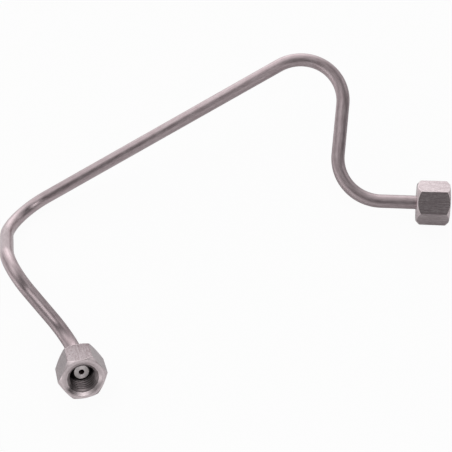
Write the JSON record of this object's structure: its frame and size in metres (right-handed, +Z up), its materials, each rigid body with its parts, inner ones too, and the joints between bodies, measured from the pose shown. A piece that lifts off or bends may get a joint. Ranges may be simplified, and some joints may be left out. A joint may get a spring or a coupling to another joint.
{
  "type": "injector pipe",
  "caption": "Bent high-pressure fuel pipe with a cold-formed sealing cone and a captive hexagon union nut on each end.",
  "frame": {"origin": "centre of the bounding box on the floor that the pipe lies on, on its left nut, its right nut and its third bend", "axes": "+X the way the right end points, flattened on the floor; +Z up; +Y completes the right-handed frame"},
  "size_m": [0.2004, 0.1668, 0.0408],
  "materials": {
    "pipe_steel": "drawn and plated, satin",
    "nut_steel": "machined and plated, satin"
  },
  "bodies": {
    "pipe": {"fuel_pipe": "pipe_steel"},
    "left_nut": {"union_nut_left": "nut_steel"},
    "right_nut": {"union_nut_right": "nut_steel"}
  },
  "joints": [
    {"name": "left_nut_spin", "type": "hinge", "parent": "pipe", "child": "left_nut", "pos_m": [-0.04129, -0.07768, 0.0145], "axis": [0.4376, -0.7319, 0.5223], "continuous": true},
    {"name": "right_nut_spin", "type": "hinge", "parent": "pipe", "child": "right_nut", "pos_m": [0.09986, 0.02286, 0.01024], "axis": [0.999, 0, 0.0436], "continuous": true}
  ]
}
